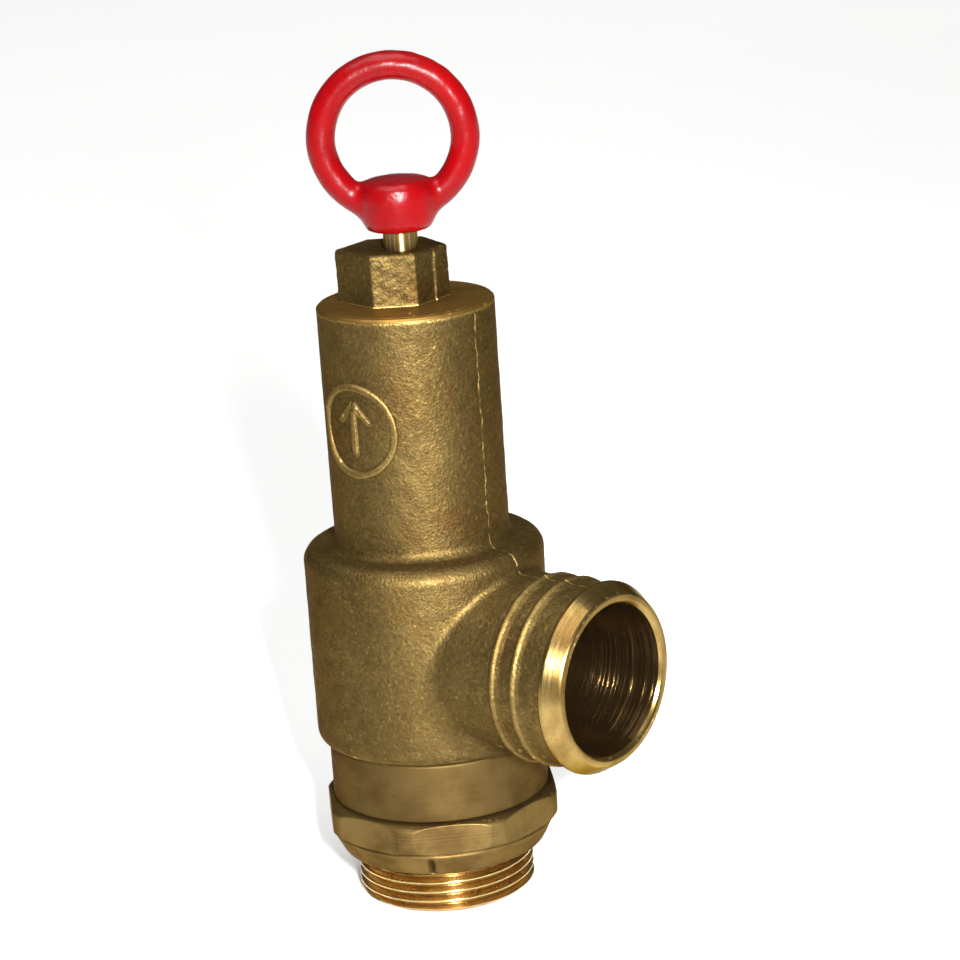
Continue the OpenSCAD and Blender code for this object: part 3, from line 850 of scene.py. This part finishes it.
def hexagon():
    """Rough cast hexagon with unequal sides on a plain shank, drilled for the spindle."""
    cols = 720
    t = np.arange(cols) / cols * TAU
    mx, my = HEX_MIDDLE
    power = 60
    total = np.zeros(cols)
    for (x0, y0), (x1, y1) in zip(HEX_CORNERS, HEX_CORNERS[1:] + HEX_CORNERS[:1]):
        nx, ny = (y1 - y0), (x0 - x1)
        reach = ((x0 - mx) * nx + (y0 - my) * ny) / math.hypot(nx, ny)
        facing = (np.cos(t) * nx + np.sin(t) * ny) / math.hypot(nx, ny)
        total += (np.maximum(facing, 0) / reach) ** power
    outline = 1 / total ** (1 / power)
    line = [
        (0.25, HEX_Z0 - 0.16), (0.05, HEX_Z0 + 0.3), (0, HEX_Z0 + 1.2), (0, HEX_Z1 - 0.7),
        (-0.25, HEX_Z1 - 0.2), (-0.7, HEX_Z1),
    ]
    line = dense(soften(line, 0.3), 0.35)
    z = line[:, 1][:, None] + 0 * t
    r = outline[None, :] + line[:, 0][:, None]
    r = np.minimum(r, np.interp(z, [HEX_Z1 - 1.2, HEX_Z1], [13.7, 12.9]))
    x, y = mx + r * np.cos(t), my + r * np.sin(t)
    ridge = 0.4 * np.exp(-(((y - 2.7 - 0.12 * np.sin(0.9 * z)) / 0.34) ** 2)) * (x > 5)
    ridge = ridge * np.clip((HEX_Z1 - 0.4 - z) / 0.8, 0, 1)
    r = r + ridge + 0.07 * np.sin(7 * t + z) * np.sin(0.6 * z + 2 * t) + 0.045 * np.sin(
        19 * t - 1.3 * z
    ) * np.sin(1.7 * z)
    sides = np.stack([mx + r * np.cos(t), my + r * np.sin(t), z], -1)
    shells = [shell(sides, 0, closed_v=True)]
    # top: from the outline in to the spindle's hole
    s = np.array([0, 0.06, 0.2, 0.4, 0.6, 0.8, 0.93, 1.0])[:, None]
    inner_t = np.arctan2(sides[-1][:, 1], sides[-1][:, 0])
    inner = np.stack([4.35 * np.cos(inner_t), 4.35 * np.sin(inner_t)], -1)[None]
    flat = sides[-1][:, :2][None] * (1 - s[..., None]) + inner * s[..., None]
    level = HEX_Z1 + 0.05 * np.sin(3 * t)[None, :] * s * (1 - s)
    shells.append(shell(np.concatenate([flat, level[..., None]], -1), 0, closed_v=True))
    hole = [(4.35, HEX_Z1), (4.05, HEX_Z1 - 0.3), (4.02, BUSH_Z1)]
    shells.append(lathe_z(dense(soften(hole, 0.1), 1.0), 128, 1))
    low = HEX_Z0 - 0.16
    shells.append(
        lathe_z(
            dense([(BUSH_R, BUSH_Z1), (BUSH_R, SHANK_Z0), (SHANK_R, SHANK_Z0), (SHANK_R, low)], 1.5), 160,
            1
        )
    )
    under_t = np.arctan2(sides[0][:, 1], sides[0][:, 0])
    under = np.stack(
        [sides[0], np.stack([SHANK_R * np.cos(under_t), SHANK_R * np.sin(under_t), 0 * t + low], -1)]
    )
    shells.append(shell(under, 0, closed_v=True, flip=True))
    return shells


make(
    "screw_hexagon", hexagon(), "screw", [CAST, INNER], stands_for=["adjusting_screw"],
    sharp=50
)

# ---------- pull ring ----------

boss = [
    (0, 160.4), (6.9, 160.4), (7.6, 161), (8.3, 162.4), (8.8, 165), (8.9, 168), (8.4, 170.6),
    (7.0, 171.8), (3, 172.3), (0, 172.3),
]
boss_of = profile_field(soften(boss, 0.7), (0, 150), (24, 186), 0.1)
TURN_C, TURN_S = math.cos(math.radians(RING_TURN)), math.sin(math.radians(RING_TURN))


def ring_field(u, w, z):
    """The ring in its own frame: u across the eye, w through it."""
    round_r = np.sqrt(u * u + (z - RING_Z) ** 2)
    bar = np.sqrt((round_r - RING_R) ** 2 + w * w) - RING_BAR
    lump = boss_of(np.sqrt(u * u + w * w), z)
    f = smooth_union(bar, lump, 2.0)
    f = f - 0.05 * np.sin(0.5 * u + 1) * np.sin(0.55 * z) - 0.04 * np.sin(
        1.1 * u - 0.9 * z
    ) * np.sin(1.3 * w + 0.4)
    hole = np.maximum(np.sqrt(u * u + w * w) - SPINDLE_R - 0.02, z - 169.2)
    return np.maximum(f, -hole)


v, q = nets(ring_field, (-20.6, -9.4, 158.6), (20.6, 9.4, 202.4), 0.42)
v = np.stack([v[:, 0] * TURN_C - v[:, 1] * TURN_S, v[:, 0] * TURN_S + v[:, 1] * TURN_C, v[:, 2]], -1)
make("pull_ring", [(v, q, 0)], "stem", [RED], stands_for=["eye_ring"], sharp=50)

# ---------- spring ----------


def coil():
    """Coil spring with closed and ground ends."""
    wire, mid, turns, z0, z1 = WIRE_R, COIL_R, COIL_TURNS, SPRING_Z0, SPRING_Z1
    n, m = 44 * turns, 18
    t = np.linspace(0, turns, n + 1)
    flat, span = 3.26, z1 - z0 - 2 * wire
    rise = (span - 2 * flat) / (turns - 2)
    z = np.where(
        t < 1, flat * t, np.where(t > turns - 1, span - flat * (turns - t), flat + (t - 1) * rise)
    ) + z0 + wire
    a, b = (TAU * t)[:, None], (np.arange(m) / m * TAU)[None, :]
    rr = mid + wire * np.cos(b)
    zz = np.clip(z[:, None] + wire * np.sin(b), z0 + 0.02, z1 - 0.02)
    tube = np.stack([rr * np.cos(a), rr * np.sin(a), zz], -1)
    caps = []
    for ring, flip in ((tube[0], False), (tube[-1], True)):
        hub = np.repeat(ring.mean(0)[None], m, 0)
        caps.append(shell(np.stack([ring, hub]), 0, closed_v=True, flip=not flip))
    return [shell(tube, 0, closed_v=True, flip=True)] + caps


spring = make(
    "coil_spring", coil(), "carriage", [SPRING_STEEL], stands_for=["spring"],
    sharp=50
)
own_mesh(spring)

# ---------- CAD nodes that stay ----------

for node, mat in {
    "nipple_gasket": FIBRE,
    "spindle_guide": INNER,
    "guide_circlip": SPRING_STEEL,
    "valve_disc": INNER,
    "disc_seal": RUBBER,
    "seal_plate": ZINC,
    "lock_washer": ZINC,
    "seal_nut": ZINC,
    "spindle": SHAFT,
    "stem_circlip": SPRING_STEEL,
    "lower_spring_plate": ZINC,
    "upper_spring_plate": ZINC,
    "guide_bush": INNER,
    "spindle_seal": RUBBER,
}.items():
    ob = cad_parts[node]
    ob.data.materials.clear()
    ob.data.materials.append(mat)

# ---------- floor, light, camera ----------


def pale_floor():
    n = Nodes("floor_pale")
    tone = n.mix(n.ramp(n.noise(3, 3), 0.3, 0.7), rgb(250, 250, 249), rgb(248, 248, 247))
    return n.principled(Base_Color=tone, Metallic=0.0, Roughness=0.7)


me = bpy.data.meshes.new("floor")
me.from_pydata([(-9, -9, 0), (9, -9, 0), (9, 9, 0), (-9, 9, 0)], [], [(0, 1, 2, 3)])
me.materials.append(pale_floor())
floor = bpy.data.objects.new("floor", me)
floor.location.z = -0.0003
bpy.context.scene.collection.objects.link(floor)

world = bpy.data.worlds.new("studio")
bpy.context.scene.world = world
world.use_nodes = True
world.node_tree.nodes["Background"].inputs["Color"].default_value = (1, 1, 1, 1)
world.node_tree.nodes["Background"].inputs["Strength"].default_value = 0.12

EL, AZ, ROLL, DIST = 0.2789, math.radians(-49.5), 0.0693, 0.72938
VIEW_ANGLE = math.radians(17.44674)
target = Vector((0.010877, 0.009289, 0.09953))
back = Vector((math.cos(EL) * math.cos(AZ), math.cos(EL) * math.sin(AZ), math.sin(EL)))
right = Vector((-math.sin(AZ), math.cos(AZ), 0))
up = back.cross(right)
right2 = right * math.cos(ROLL) - up * math.sin(ROLL)
up2 = right * math.sin(ROLL) + up * math.cos(ROLL)
cam = bpy.data.cameras.new("camera")
cam.angle = VIEW_ANGLE
cam.clip_start, cam.clip_end = 0.01, 60
camera = bpy.data.objects.new("camera", cam)
camera.matrix_world = Matrix(
    (
        (right2.x, up2.x, back.x, target.x + back.x * DIST),
        (right2.y, up2.y, back.y, target.y + back.y * DIST),
        (right2.z, up2.z, back.z, target.z + back.z * DIST),
        (0, 0, 0, 1),
    )
)
bpy.context.scene.collection.objects.link(camera)
bpy.context.scene.camera = camera


def lamp(name, kind, power, towards, at=(0, 0, 0)):
    """A light that shines along a direction."""
    light = bpy.data.lights.new(name, kind)
    light.energy = power
    ob = bpy.data.objects.new(name, light)
    ob.location = at
    ob.rotation_mode = "QUATERNION"
    ob.rotation_quaternion = towards.to_track_quat("-Z", "Y")
    bpy.context.scene.collection.objects.link(ob)
    return light


# a small lamp beside the camera aimed low on the valve, and a wide overhead sun for the floor
flash_at = camera.matrix_world.translation + right * 0.08 + up * 0.04
flash = lamp("flash", "AREA", 1.0, Vector((0.01, 0.005, 0.065)) - flash_at, flash_at)
flash.size, flash.spread = 0.07, math.radians(40)
sun = lamp("key", "SUN", 3.0, right * 0.1 - back * 0.22 - Vector((0, 0, 1)))
sun.angle = math.radians(50)

bpy.context.scene.view_settings.view_transform = "Standard"
